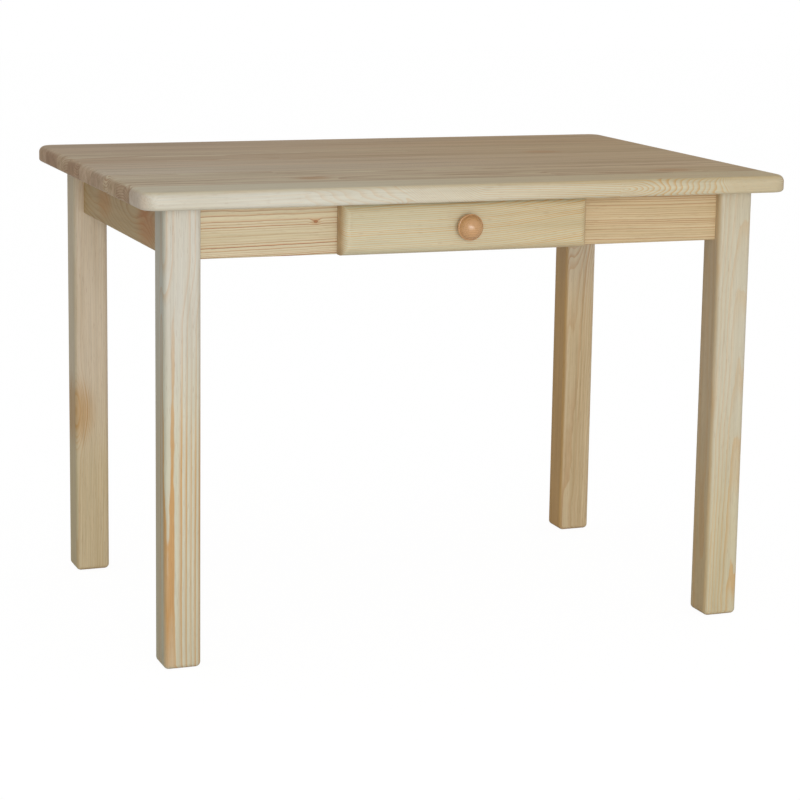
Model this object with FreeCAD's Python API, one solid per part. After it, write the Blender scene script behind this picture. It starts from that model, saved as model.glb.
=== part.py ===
import FreeCAD, Part
import math
import os

# Kitchen and dining table of solid pine with one drawer under its front edge. Millimetres, +Z up.
# The origin is on the floor under the middle of the top. +X runs along the top, and -Y is the drawer side.

# ---- Driving dimensions ----

# Whole table
table_length = 1100.0
table_width = 750.0
table_height = 760.0

# Top, glued up from staves that run along the table
top_thickness = 28.0
top_overhang = 44.0
top_stave_count = 9
top_corner_radius = 28.0
top_upper_edge_radius = 11.0
top_lower_edge_radius = 6.0

# Legs
leg_section = 60.0
leg_edge_radius = 9.0
leg_foot_radius = 8.0
leg_seat_depth = 10.0

# Aprons
apron_height = 84.0
apron_thickness = 22.0
apron_recess = 17.0
apron_edge_radius = 3.0

# Dowels between aprons and legs
apron_dowel_radius = 4.0
apron_dowel_in_leg = 15.0
apron_dowel_in_apron = 20.0
apron_dowel_spacing = 50.0

# Corner blocks, set across the corners between the aprons
block_height = 64.0
block_thickness = 28.0
block_top_gap = 6.0
block_bolt_hole_radius = 4.5

# Hanger bolts, washers and nuts that draw the legs against the corner blocks
bolt_radius = 4.0
bolt_in_leg = 42.0
bolt_past_nut = 5.0
bolt_end_chamfer = 0.8
bolt_spacing = 34.0
washer_radius = 10.0
washer_hole_radius = 4.3
washer_thickness = 1.6
nut_across_flats = 13.0
nut_height = 6.5

# Screws that hold each corner block to its two aprons
block_screw_inset = 30.0
block_screw_floor = 9.0
block_screw_radius = 2.2
block_screw_head_radius = 4.2
block_screw_head_height = 2.8
block_screw_in_apron = 15.0
block_screw_pocket_radius = 5.0

# Steel angle brackets that hold the top to the aprons, and their screws
bracket_flange = 25.0
bracket_width = 20.0
bracket_thickness = 2.0
bracket_corner_radius = 4.0
bracket_bend_radius = 2.5
bracket_screw_from_bend = 15.0
bracket_screw_radius = 2.0
bracket_screw_head_radius = 3.8
bracket_screw_head_height = 2.4
bracket_screw_length = 16.0
bracket_hole_clearance = 0.3
rear_bracket_spacing = 310.0
front_bracket_spacing = 640.0
side_bracket_spacing = 260.0

# Cut-out for the drawer in the front apron
opening_width = 384.0
opening_bottom_rail = 18.0
opening_top_rail = 14.0
opening_corner_radius = 4.0

# Place of the drawer along the table, measured from the middle of the table
drawer_middle_x = -11.0

# Drawer front, which covers the cut-out
front_width = 421.0
front_thickness = 27.0
front_edge_radius = 13.5
front_top_gap = 2.0
front_stand_off = 0.3

# Drawer box
box_side_gap = 2.0
box_height_gap = 1.5
box_depth = 450.0
box_side_thickness = 15.0
box_back_thickness = 15.0
bottom_thickness = 4.0
bottom_height = 8.0
bottom_in_side = 5.0
bottom_in_front = 6.0
bottom_edge_gap = 0.5

# Dowels of the drawer box
box_dowel_radius = 3.0
box_dowel_in_front = 12.0
box_dowel_in_side = 20.0
box_dowel_through_side = 9.0
box_dowel_in_back = 20.0
box_dowel_edge = 8.0
box_dowel_low_height = 17.0

# Pins that hold the drawer bottom up against the back
pin_radius = 0.9
pin_head_radius = 2.0
pin_head_height = 0.8
pin_length = 22.0
pin_spacing = 130.0
pin_count = 3

# Guide boards beside the drawer, with the hardwood runners that the drawer hangs on
guide_gap = 1.0
guide_thickness = 18.0
guide_height = 60.0
guide_dowel_radius = 4.0
guide_dowel_in_apron = 12.0
guide_dowel_in_guide = 18.0
guide_dowel_spacing = 32.0
runner_height = 10.0
runner_in_groove = 6.0
runner_groove_depth = 7.0
runner_running_gap = 0.3
runner_end_gap = 2.0
runner_edge_chamfer = 1.0
runner_screw_count = 3
runner_screw_radius = 1.75
runner_screw_head_radius = 3.5
runner_screw_length = 20.0
runner_screw_from_end = 40.0

# Pegs in the drawer sides that meet the front apron when the drawer is pulled out
drawer_travel = 300.0
peg_radius = 4.0
peg_in_side = 14.0
peg_standing = 7.0
peg_stop_gap = 0.3

# Turned knob and its screw
knob_radius = 21.3
knob_foot_radius = 11.5
knob_neck_radius = 8.5
knob_foot_height = 2.0
knob_neck_height = 7.0
knob_band_height = 9.0
knob_band_width = 3.0
knob_rim_radius = 1.2
knob_groove_depth = 0.6
knob_dome_height = 28.5
knob_screw_radius = 2.0
knob_screw_head_radius = 4.3
knob_screw_head_height = 2.6
knob_screw_in_knob = 13.0
knob_screw_hole_radius = 2.4

# ---- Places worked out from the driving dimensions ----

underside_z = table_height - top_thickness
leg_outer_x = table_length / 2 - top_overhang
leg_outer_y = table_width / 2 - top_overhang
leg_inner_x = leg_outer_x - leg_section
leg_inner_y = leg_outer_y - leg_section

apron_bottom_z = underside_z - apron_height
apron_middle_z = underside_z - apron_height / 2
apron_outer_x = leg_outer_x - apron_recess
apron_outer_y = leg_outer_y - apron_recess
apron_inner_x = apron_outer_x - apron_thickness
apron_inner_y = apron_outer_y - apron_thickness
apron_dowel_x = (apron_outer_x + apron_inner_x) / 2
apron_dowel_y = (apron_outer_y + apron_inner_y) / 2

apron_setback = leg_section - apron_recess - apron_thickness
block_top_z = underside_z - block_top_gap
block_bottom_z = block_top_z - block_height
block_middle_z = (block_top_z + block_bottom_z) / 2
block_outer_sum = -leg_seat_depth * math.sqrt(2)
block_inner_distance = block_thickness - leg_seat_depth
block_inner_sum = block_inner_distance * math.sqrt(2)

opening_bottom_z = apron_bottom_z + opening_bottom_rail
opening_top_z = underside_z - opening_top_rail
opening_middle_z = (opening_bottom_z + opening_top_z) / 2

front_back_y = -apron_outer_y - front_stand_off
front_face_y = front_back_y - front_thickness
front_top_z = underside_z - front_top_gap
front_middle_z = (front_top_z + apron_bottom_z) / 2

box_outer_x = opening_width / 2 - box_side_gap
box_inner_x = box_outer_x - box_side_thickness
box_rear_y = front_back_y + box_depth
box_back_y = box_rear_y - box_back_thickness
box_bottom_z = opening_bottom_z + box_height_gap
box_top_z = opening_top_z - box_height_gap
bottom_low_z = box_bottom_z + bottom_height
bottom_high_z = bottom_low_z + bottom_thickness

guide_inner_x = box_outer_x + guide_gap
guide_outer_x = guide_inner_x + guide_thickness
guide_dowel_x = (guide_inner_x + guide_outer_x) / 2
runner_tip_x = box_outer_x - runner_in_groove
runner_front_y = -apron_inner_y + runner_end_gap
runner_rear_y = box_rear_y
peg_y = -apron_inner_y + drawer_travel + peg_stop_gap + peg_radius

corners = {"front_left": (-1, -1), "front_right": (1, -1), "rear_left": (-1, 1), "rear_right": (1, 1)}
sides = {"left": -1, "right": 1}
touching = 1e-6


# ---- Shapes that many pieces share ----

def box_between(x_range, y_range, z_range):
    """Box between two bounds on each axis, given in either order."""
    spans = [sorted(pair) for pair in (x_range, y_range, z_range)]
    sizes = [high - low for low, high in spans]
    return Part.makeBox(*sizes, FreeCAD.Vector(*[low for low, high in spans]))


def straight_edges_along(shape, direction):
    """Straight edges of a shape that run along a direction."""
    lines = [edge for edge in shape.Edges if isinstance(edge.Curve, Part.Line)]
    return [edge for edge in lines if abs(edge.Curve.Direction.dot(direction)) > 1 - touching]


def edges_in_plane(shape, point, normal):
    """Edges of a shape whose ends all lie in one plane."""
    def in_plane(edge):
        return all(abs((vertex.Point - point).dot(normal)) < touching for vertex in edge.Vertexes)
    return [edge for edge in shape.Edges if in_plane(edge)]


def turned(outline, start, direction):
    """Solid of revolution of (radius, height) points, with its height along direction from start."""
    points = [FreeCAD.Vector(radius, 0, height) for radius, height in outline]
    face = Part.Face(Part.makePolygon(points + points[:1]))
    solid = face.revolve(FreeCAD.Vector(0, 0, 0), FreeCAD.Vector(0, 0, 1), 360)
    turn = FreeCAD.Rotation(FreeCAD.Vector(0, 0, 1), direction)
    solid.Placement = FreeCAD.Placement(start, turn)
    return solid


def pan_screw(start, direction, length, radius, head_radius, head_height):
    """Screw whose round head bears on the face at start and whose point lies along direction."""
    head_edge = head_height / 2
    point_length = radius * 2
    outline = [
        (0, -head_height), (head_radius - head_edge, -head_height), (head_radius, -head_edge),
        (head_radius, 0), (radius, 0), (radius, length - point_length), (0, length),
    ]
    return turned(outline, start, direction)


def flat_screw(start, direction, length, radius, head_radius):
    """Countersunk screw whose head lies level with the face at start."""
    point_length = radius * 2
    outline = [
        (0, 0), (head_radius, 0), (radius, head_radius - radius),
        (radius, length - point_length), (0, length),
    ]
    return turned(outline, start, direction)


def dowel(start, direction, length, radius):
    """Plain round dowel."""
    return Part.makeCylinder(radius, length, start, direction)


def bored(piece, cutters):
    """A piece with the room for fasteners taken out of it."""
    return piece.cut(Part.makeCompound(cutters))


def at_drawer(shapes):
    """Shapes drawn about the drawer's own middle plane, moved to where the drawer sits."""
    return [shape.translated(FreeCAD.Vector(drawer_middle_x, 0, 0)) for shape in shapes]


def save(node, shapes):
    """Write one node, made of one solid or of several separate ones."""
    solids = [solid for shape in shapes for solid in shape.Solids]
    result = solids[0] if len(solids) == 1 else Part.makeCompound(solids)
    result.exportStep("parts/" + node + ".step")


# ---- Places at a corner of the frame ----

def corner_point(corner, inward_x, inward_y, z):
    """Point given by its distances inward from the two inner faces of a corner's leg."""
    sign_x, sign_y = corner
    return FreeCAD.Vector(sign_x * (leg_inner_x - inward_x), sign_y * (leg_inner_y - inward_y), z)


def diagonal_point(corner, distance, z):
    """Point on the diagonal of a corner, measured inward from the leg's inner edge line."""
    step = distance / math.sqrt(2)
    return corner_point(corner, step, step, z)


def corner_prism(corner, plan, low_z, high_z):
    """Upright prism whose plan is given by inward distances from the leg's two inner faces."""
    points = [corner_point(corner, inward_x, inward_y, low_z) for inward_x, inward_y in plan]
    face = Part.Face(Part.makePolygon(points + points[:1]))
    return face.extrude(FreeCAD.Vector(0, 0, high_z - low_z))


# ---- Fasteners ----

def make_apron_dowels():
    """Two dowels in each end of each apron."""
    length = apron_dowel_in_leg + apron_dowel_in_apron
    dowels = []
    for sign_x, sign_y in corners.values():
        for lift in (-apron_dowel_spacing / 2, apron_dowel_spacing / 2):
            z = apron_middle_z + lift
            along_x = FreeCAD.Vector(sign_x * (leg_inner_x + apron_dowel_in_leg), sign_y * apron_dowel_y, z)
            along_y = FreeCAD.Vector(sign_x * apron_dowel_x, sign_y * (leg_inner_y + apron_dowel_in_leg), z)
            dowels.append(dowel(along_x, FreeCAD.Vector(-sign_x, 0, 0), length, apron_dowel_radius))
            dowels.append(dowel(along_y, FreeCAD.Vector(0, -sign_y, 0), length, apron_dowel_radius))
    return dowels


def bolt_heights():
    """Heights of the two hanger bolts in a corner block."""
    return (block_middle_z - bolt_spacing / 2, block_middle_z + bolt_spacing / 2)


def inward_diagonal(corner):
    """Direction from a corner's leg toward the middle of the table."""
    sign_x, sign_y = corner
    return FreeCAD.Vector(-sign_x, -sign_y, 0).normalize()


def make_hanger_bolts(corner):
    """Two headless bolts that stand out of the leg and pass through the corner block."""
    length = bolt_in_leg + block_thickness + washer_thickness + nut_height + bolt_past_nut
    bolts = []
    for z in bolt_heights():
        start = diagonal_point(corner, -leg_seat_depth - bolt_in_leg, z)
        bolt = Part.makeCylinder(bolt_radius, length, start, inward_diagonal(corner))
        ends = [edge for edge in bolt.Edges if isinstance(edge.Curve, Part.Circle)]
        bolts.append(bolt.makeChamfer(bolt_end_chamfer, ends))
    return bolts


def make_washers(corner):
    """Washers on the inner face of a corner block."""
    washers = []
    for z in bolt_heights():
        start = diagonal_point(corner, block_inner_distance, z)
        disc = Part.makeCylinder(washer_radius, washer_thickness, start, inward_diagonal(corner))
        hole = Part.makeCylinder(washer_hole_radius, washer_thickness, start, inward_diagonal(corner))
        washers.append(disc.cut(hole))
    return washers


def make_nuts(corner):
    """Hexagon nuts on the washers, with the corners of their outer faces turned off."""
    nuts = []
    half_flats = nut_across_flats / 2
    across_corners = half_flats / math.cos(math.radians(30))
    points = [
        FreeCAD.Vector(across_corners * math.cos(math.radians(60 * step)),
                       across_corners * math.sin(math.radians(60 * step)), 0)
        for step in range(7)
    ]
    prism = Part.Face(Part.makePolygon(points)).extrude(FreeCAD.Vector(0, 0, nut_height))
    crown = Part.makeCone(half_flats + nut_height, half_flats, nut_height)
    bore = Part.makeCylinder(bolt_radius, nut_height)
    nut = prism.common(crown).cut(bore)
    turn = FreeCAD.Rotation(FreeCAD.Vector(0, 0, 1), inward_diagonal(corner))
    for z in bolt_heights():
        placed = nut.copy()
        placed.Placement = FreeCAD.Placement(
            diagonal_point(corner, block_inner_distance + washer_thickness, z), turn)
        nuts.append(placed)
    return nuts


def block_screw_places(corner):
    """Bearing point and direction of the screws from a corner block into its two aprons."""
    sign_x, sign_y = corner
    floor = block_screw_floor - apron_setback
    into_long_apron = (corner_point(corner, block_screw_inset, floor, block_middle_z),
                       FreeCAD.Vector(0, sign_y, 0))
    into_end_apron = (corner_point(corner, floor, block_screw_inset, block_middle_z),
                      FreeCAD.Vector(sign_x, 0, 0))
    return (into_long_apron, into_end_apron)


def make_block_screws(corner):
    """Screws from a corner block into its two aprons."""
    length = block_screw_floor + block_screw_in_apron
    return [
        pan_screw(start, direction, length, block_screw_radius,
                  block_screw_head_radius, block_screw_head_height)
        for start, direction in block_screw_places(corner)
    ]


# ---- Brackets under the top ----

def bracket_places():
    """Corner line point and inward turn in degrees of every bracket, one row per apron."""
    places = [(x, apron_inner_y, -90) for x in (-rear_bracket_spacing, 0, rear_bracket_spacing)]
    for sign in sides.values():
        places.append((sign * front_bracket_spacing / 2, -apron_inner_y, 90))
        places.append((-apron_inner_x, sign * side_bracket_spacing / 2, 0))
        places.append((apron_inner_x, sign * side_bracket_spacing / 2, 180))
    return places


def at_bracket(shape, place):
    """Copy of a shape drawn at a bracket's bend, moved to one bracket's place."""
    x, y, turn = place
    rotation = FreeCAD.Rotation(FreeCAD.Vector(0, 0, 1), turn)
    moved = shape.copy()
    moved.Placement = FreeCAD.Placement(FreeCAD.Vector(x, y, underside_z), rotation).multiply(shape.Placement)
    return moved


def make_bracket():
    """Bent steel angle with a round-cornered flange under the top and another on the apron."""
    half_width = bracket_width / 2
    outer = box_between((0, bracket_flange), (-half_width, half_width), (-bracket_flange, 0))
    inner = box_between((bracket_thickness, bracket_flange), (-half_width, half_width),
                        (-bracket_flange, -bracket_thickness))
    angle = outer.cut(inner)
    bend = FreeCAD.Vector(bracket_thickness, 0, -bracket_thickness)
    along_y = FreeCAD.Vector(0, 1, 0)
    inside_bend = [
        edge for edge in straight_edges_along(angle, along_y)
        if abs(edge.Vertexes[0].X - bend.x) < touching and abs(edge.Vertexes[0].Z - bend.z) < touching
    ]
    angle = angle.makeFillet(bracket_bend_radius, inside_bend)
    top_corners = [
        edge for edge in straight_edges_along(angle, FreeCAD.Vector(0, 0, 1))
        if abs(edge.Vertexes[0].X - bracket_flange) < touching
    ]
    side_corners = [
        edge for edge in straight_edges_along(angle, FreeCAD.Vector(1, 0, 0))
        if abs(edge.Vertexes[0].Z + bracket_flange) < touching
    ]
    angle = angle.makeFillet(bracket_corner_radius, top_corners + side_corners)
    hole_radius = bracket_screw_radius + bracket_hole_clearance
    top_hole = Part.makeCylinder(hole_radius, bracket_thickness,
                                 FreeCAD.Vector(bracket_screw_from_bend, 0, -bracket_thickness))
    side_hole = Part.makeCylinder(hole_radius, bracket_thickness,
                                  FreeCAD.Vector(0, 0, -bracket_screw_from_bend),
                                  FreeCAD.Vector(1, 0, 0))
    return angle.cut(top_hole).cut(side_hole)


def make_bracket_screws():
    """The two screws of a bracket, one up into the top and one into the apron."""
    up = pan_screw(FreeCAD.Vector(bracket_screw_from_bend, 0, -bracket_thickness),
                   FreeCAD.Vector(0, 0, 1), bracket_screw_length, bracket_screw_radius,
                   bracket_screw_head_radius, bracket_screw_head_height)
    across = pan_screw(FreeCAD.Vector(bracket_thickness, 0, -bracket_screw_from_bend),
                       FreeCAD.Vector(-1, 0, 0), bracket_screw_length, bracket_screw_radius,
                       bracket_screw_head_radius, bracket_screw_head_height)
    return [up, across]


# ---- Frame pieces ----

def make_staves(cutters):
    """Staves of the top, sliced from one panel whose edges and corners are rounded."""
    panel = box_between((-table_length / 2, table_length / 2), (-table_width / 2, table_width / 2),
                        (underside_z, table_height))
    up = FreeCAD.Vector(0, 0, 1)
    panel = panel.makeFillet(top_corner_radius, straight_edges_along(panel, up))
    upper_rim = edges_in_plane(panel, FreeCAD.Vector(0, 0, table_height), up)
    panel = panel.makeFillet(top_upper_edge_radius, upper_rim)
    lower_rim = edges_in_plane(panel, FreeCAD.Vector(0, 0, underside_z), up)
    panel = panel.makeFillet(top_lower_edge_radius, lower_rim)
    panel = bored(panel, cutters)
    stave_width = table_width / top_stave_count
    staves = []
    for index in range(top_stave_count):
        low_y = -table_width / 2 + index * stave_width
        slab = box_between((-table_length / 2, table_length / 2), (low_y, low_y + stave_width),
                           (underside_z, table_height))
        staves.append(panel.common(slab))
    return staves


def make_leg(corner, cutters):
    """Square leg with rounded edges and foot, and a flat for the corner block at its inner corner."""
    sign_x, sign_y = corner
    leg = box_between((sign_x * leg_inner_x, sign_x * leg_outer_x),
                      (sign_y * leg_inner_y, sign_y * leg_outer_y), (0, underside_z))
    up = FreeCAD.Vector(0, 0, 1)
    leg = leg.makeFillet(leg_edge_radius, straight_edges_along(leg, up))
    leg = leg.makeFillet(leg_foot_radius, edges_in_plane(leg, FreeCAD.Vector(0, 0, 0), up))
    seat_plan = [(block_outer_sum, 0), (0, 0), (0, block_outer_sum)]
    seat = corner_prism(corner, seat_plan, block_bottom_z, underside_z)
    return bored(leg.cut(seat), cutters)


def make_long_apron(sign_y, cutters):
    """Apron along the table, with its two lower edges eased."""
    apron = box_between((-leg_inner_x, leg_inner_x), (sign_y * apron_inner_y, sign_y * apron_outer_y),
                        (apron_bottom_z, underside_z))
    low_edges = [
        edge for edge in straight_edges_along(apron, FreeCAD.Vector(1, 0, 0))
        if abs(edge.Vertexes[0].Z - apron_bottom_z) < touching
    ]
    return bored(apron.makeFillet(apron_edge_radius, low_edges), cutters)


def make_end_apron(sign_x, cutters):
    """Apron across one end of the table, with its two lower edges eased."""
    apron = box_between((sign_x * apron_inner_x, sign_x * apron_outer_x), (-leg_inner_y, leg_inner_y),
                        (apron_bottom_z, underside_z))
    low_edges = [
        edge for edge in straight_edges_along(apron, FreeCAD.Vector(0, 1, 0))
        if abs(edge.Vertexes[0].Z - apron_bottom_z) < touching
    ]
    return bored(apron.makeFillet(apron_edge_radius, low_edges), cutters)


def make_drawer_cut_out():
    """Round-cornered hole that the drawer box slides in, drawn about the drawer's middle plane."""
    hole = box_between((-opening_width / 2, opening_width / 2), (-apron_outer_y, -apron_inner_y),
                       (opening_bottom_z, opening_top_z))
    return hole.makeFillet(opening_corner_radius, straight_edges_along(hole, FreeCAD.Vector(0, 1, 0)))


def make_corner_block(corner):
    """Mitred block across a corner, with two bolt holes and a screw pocket toward each apron."""
    outer_reach = block_outer_sum + apron_setback
    inner_reach = block_inner_sum + apron_setback
    plan = [(outer_reach, -apron_setback), (inner_reach, -apron_setback),
            (-apron_setback, inner_reach), (-apron_setback, outer_reach)]
    block = corner_prism(corner, plan, block_bottom_z, block_top_z)
    cutters = make_block_screws(corner)
    for z in bolt_heights():
        start = diagonal_point(corner, -leg_seat_depth, z)
        cutters.append(Part.makeCylinder(block_bolt_hole_radius, block_thickness, start,
                                         inward_diagonal(corner)))
    for start, direction in block_screw_places(corner):
        cutters.append(Part.makeCylinder(block_screw_pocket_radius, inner_reach, start,
                                         direction.negative()))
    return bored(block, cutters)


# ---- Drawer guides, drawn about the drawer's middle plane ----

def make_guide_dowels():
    """Two dowels in each end of each guide board."""
    length = guide_dowel_in_apron + guide_dowel_in_guide
    dowels = []
    for sign_x in sides.values():
        for sign_y in sides.values():
            for lift in (-guide_dowel_spacing / 2, guide_dowel_spacing / 2):
                start = FreeCAD.Vector(sign_x * guide_dowel_x,
                                       sign_y * (apron_inner_y + guide_dowel_in_apron),
                                       opening_middle_z + lift)
                dowels.append(dowel(start, FreeCAD.Vector(0, -sign_y, 0), length, guide_dowel_radius))
    return dowels


def make_runner_screws(sign_x):
    """Countersunk screws that hold a runner to its guide board."""
    first_y = runner_front_y + runner_screw_from_end
    last_y = runner_rear_y - runner_screw_from_end
    pitch = (last_y - first_y) / (runner_screw_count - 1)
    return [
        flat_screw(FreeCAD.Vector(sign_x * runner_tip_x, first_y + index * pitch, opening_middle_z),
                   FreeCAD.Vector(sign_x, 0, 0), runner_screw_length, runner_screw_radius,
                   runner_screw_head_radius)
        for index in range(runner_screw_count)
    ]


def make_guide(sign_x, cutters):
    """Board between the front and rear aprons, beside the drawer."""
    half_height = guide_height / 2
    guide = box_between((sign_x * guide_inner_x, sign_x * guide_outer_x), (-apron_inner_y, apron_inner_y),
                        (opening_middle_z - half_height, opening_middle_z + half_height))
    return bored(guide, cutters)


def make_runner(sign_x, cutters):
    """Hardwood batten on a guide board, with the two edges at its tip chamfered."""
    half_height = runner_height / 2
    runner = box_between((sign_x * runner_tip_x, sign_x * guide_inner_x), (runner_front_y, runner_rear_y),
                         (opening_middle_z - half_height, opening_middle_z + half_height))
    tip_edges = [
        edge for edge in straight_edges_along(runner, FreeCAD.Vector(0, 1, 0))
        if abs(edge.Vertexes[0].X - sign_x * runner_tip_x) < touching
    ]
    return bored(runner.makeChamfer(runner_edge_chamfer, tip_edges), cutters)


# ---- Drawer, drawn about its own middle plane ----

def box_dowel_heights():
    """Heights of the two dowels in each joint of the drawer box, clear of its grooves."""
    return (box_bottom_z + box_dowel_low_height, box_top_z - box_dowel_edge)


def make_box_dowels():
    """Dowels that join the drawer sides to the front and to the back."""
    middle_x = (box_outer_x + box_inner_x) / 2
    middle_y = (box_back_y + box_rear_y) / 2
    dowels = []
    for sign_x in sides.values():
        for z in box_dowel_heights():
            front_start = FreeCAD.Vector(sign_x * middle_x, front_back_y - box_dowel_in_front, z)
            back_start = FreeCAD.Vector(sign_x * (box_inner_x + box_dowel_through_side), middle_y, z)
            dowels.append(dowel(front_start, FreeCAD.Vector(0, 1, 0),
                                box_dowel_in_front + box_dowel_in_side, box_dowel_radius))
            dowels.append(dowel(back_start, FreeCAD.Vector(-sign_x, 0, 0),
                                box_dowel_through_side + box_dowel_in_back, box_dowel_radius))
    return dowels


def make_stop_pegs():
    """Pegs that stand out of the top edges of the drawer sides."""
    middle_x = (box_outer_x + box_inner_x) / 2
    return [
        dowel(FreeCAD.Vector(sign_x * middle_x, peg_y, box_top_z - peg_in_side),
              FreeCAD.Vector(0, 0, 1), peg_in_side + peg_standing, peg_radius)
        for sign_x in sides.values()
    ]


def make_bottom_pins():
    """Panel pins driven up through the drawer bottom into the back."""
    middle_y = (box_back_y + box_rear_y) / 2
    outline = [
        (0, -pin_head_height), (pin_head_radius, -pin_head_height), (pin_head_radius, 0),
        (pin_radius, 0), (pin_radius, pin_length - pin_radius), (0, pin_length),
    ]
    first_x = -pin_spacing * (pin_count - 1) / 2
    return [
        turned(outline, FreeCAD.Vector(first_x + index * pin_spacing, middle_y, bottom_low_z),
               FreeCAD.Vector(0, 0, 1))
        for index in range(pin_count)
    ]


def make_knob_screw():
    """Screw from inside the drawer through its front into the knob."""
    return pan_screw(FreeCAD.Vector(0, front_back_y, front_middle_z), FreeCAD.Vector(0, -1, 0),
                     front_thickness + knob_screw_in_knob, knob_screw_radius,
                     knob_screw_head_radius, knob_screw_head_height)


def make_drawer_front(cutters):
    """Overlay front with rounded face edges and a stopped groove for the drawer bottom."""
    board = box_between((-front_width / 2, front_width / 2), (front_face_y, front_back_y),
                        (apron_bottom_z, front_top_z))
    face_rim = edges_in_plane(board, FreeCAD.Vector(0, front_face_y, 0), FreeCAD.Vector(0, 1, 0))
    board = board.makeFillet(front_edge_radius, face_rim)
    groove_x = box_inner_x + bottom_in_side
    groove = box_between((-groove_x, groove_x), (front_back_y - bottom_in_front, front_back_y),
                         (bottom_low_z, bottom_high_z))
    knob_hole = Part.makeCylinder(knob_screw_hole_radius, front_thickness,
                                  FreeCAD.Vector(0, front_face_y, front_middle_z),
                                  FreeCAD.Vector(0, 1, 0))
    return bored(board, cutters + [groove, knob_hole])


def make_drawer_side(sign_x, cutters):
    """Drawer side with a runner groove outside and a groove for the bottom inside."""
    side = box_between((sign_x * box_inner_x, sign_x * box_outer_x), (front_back_y, box_rear_y),
                       (box_bottom_z, box_top_z))
    half_groove = runner_height / 2 + runner_running_gap
    runner_groove = box_between(
        (sign_x * (box_outer_x - runner_groove_depth), sign_x * box_outer_x), (front_back_y, box_rear_y),
        (opening_middle_z - half_groove, opening_middle_z + half_groove))
    bottom_groove = box_between(
        (sign_x * box_inner_x, sign_x * (box_inner_x + bottom_in_side)), (front_back_y, box_rear_y),
        (bottom_low_z, bottom_high_z))
    return bored(side, cutters + [runner_groove, bottom_groove])


def make_drawer_back(cutters):
    """Drawer back between the sides, standing on the drawer bottom."""
    back = box_between((-box_inner_x, box_inner_x), (box_back_y, box_rear_y), (bottom_high_z, box_top_z))
    return bored(back, cutters)


def make_drawer_bottom(cutters):
    """Thin panel in the grooves of the sides and the front, running under the back."""
    half_width = box_inner_x + bottom_in_side - bottom_edge_gap
    panel = box_between((-half_width, half_width),
                        (front_back_y - bottom_in_front + bottom_edge_gap, box_rear_y),
                        (bottom_low_z, bottom_high_z))
    return bored(panel, cutters)


def knob_outline():
    """Half section of the knob, as edges from its foot up to its crown and back down its axis."""
    band_top = knob_band_height + knob_band_width
    shoulder = band_top + knob_rim_radius
    groove_radius = knob_radius - knob_rim_radius
    dome_edge_radius = groove_radius - knob_groove_depth
    dome_rise = knob_dome_height - shoulder
    sphere_radius = (dome_edge_radius ** 2 + dome_rise ** 2) / (2 * dome_rise)
    half_angle = math.asin(dome_edge_radius / sphere_radius) / 2
    diagonal = knob_rim_radius / math.sqrt(2)

    def at(radius, height):
        return FreeCAD.Vector(radius, 0, height)

    foot_centre = at(0, 0)
    foot_edge = at(knob_foot_radius, 0)
    neck_start = at(knob_foot_radius, knob_foot_height)
    neck_middle = at(knob_neck_radius, (knob_foot_height + knob_neck_height) / 2)
    neck_end = at((knob_neck_radius + knob_foot_radius) / 2, knob_neck_height)
    band_low = at(knob_radius, knob_band_height)
    band_high = at(knob_radius, band_top)
    rim_middle = at(groove_radius + diagonal, band_top + diagonal)
    rim_end = at(groove_radius, shoulder)
    groove_floor = at(groove_radius, shoulder - knob_groove_depth)
    dome_edge = at(dome_edge_radius, shoulder)
    dome_middle = at(sphere_radius * math.sin(half_angle),
                     knob_dome_height - sphere_radius * (1 - math.cos(half_angle)))
    crown = at(0, knob_dome_height)
    return [
        Part.LineSegment(foot_centre, foot_edge), Part.LineSegment(foot_edge, neck_start),
        Part.Arc(neck_start, neck_middle, neck_end), Part.LineSegment(neck_end, band_low),
        Part.LineSegment(band_low, band_high), Part.Arc(band_high, rim_middle, rim_end),
        Part.LineSegment(rim_end, groove_floor), Part.LineSegment(groove_floor, dome_edge),
        Part.Arc(dome_edge, dome_middle, crown), Part.LineSegment(crown, foot_centre),
    ]


def make_knob(cutters):
    """Turned knob with a waisted neck, a narrow band, a turned groove and a high domed face."""
    face = Part.Face(Part.Wire([segment.toShape() for segment in knob_outline()]))
    knob = face.revolve(FreeCAD.Vector(0, 0, 0), FreeCAD.Vector(0, 0, 1), 360)
    turn = FreeCAD.Rotation(FreeCAD.Vector(0, 0, 1), FreeCAD.Vector(0, -1, 0))
    knob.Placement = FreeCAD.Placement(FreeCAD.Vector(0, front_face_y, front_middle_z), turn)
    return bored(knob, cutters)


# ---- The whole table ----

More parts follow.
